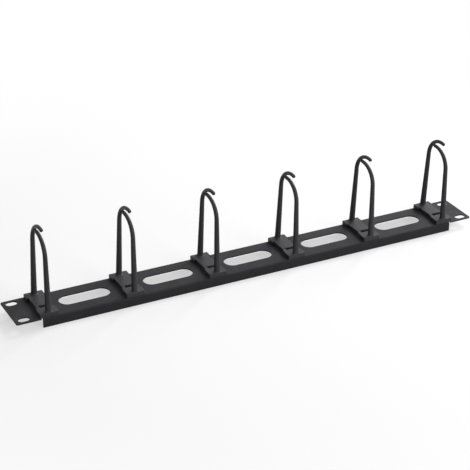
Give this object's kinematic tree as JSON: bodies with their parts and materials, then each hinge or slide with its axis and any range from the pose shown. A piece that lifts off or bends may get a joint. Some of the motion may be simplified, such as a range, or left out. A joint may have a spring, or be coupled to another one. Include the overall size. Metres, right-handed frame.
{
  "type": "horizontal cable manager",
  "caption": "Folded one-unit rack panel with oblong cable slots and a row of open plastic cable rings that hooks keep closed.",
  "frame": {"origin": "centre of the rack hole pattern, on the back face of the ears that meets the rack rails", "axes": "+X along the panel, +Y across it towards the side the ring hooks grow from, +Z out of the rack on the ring side"},
  "size_m": [0.4826, 0.0436, 0.0929],
  "materials": {
    "panel_coat": "fine-textured satin black powder coat",
    "ring_plastic": "satin black moulded plastic"
  },
  "bodies": {
    "root": {"rack_panel": "panel_coat", "cable_ring_1": "ring_plastic", "cable_ring_2": "ring_plastic", "cable_ring_3": "ring_plastic", "cable_ring_4": "ring_plastic", "cable_ring_5": "ring_plastic", "cable_ring_6": "ring_plastic"}
  },
  "joints": []
}
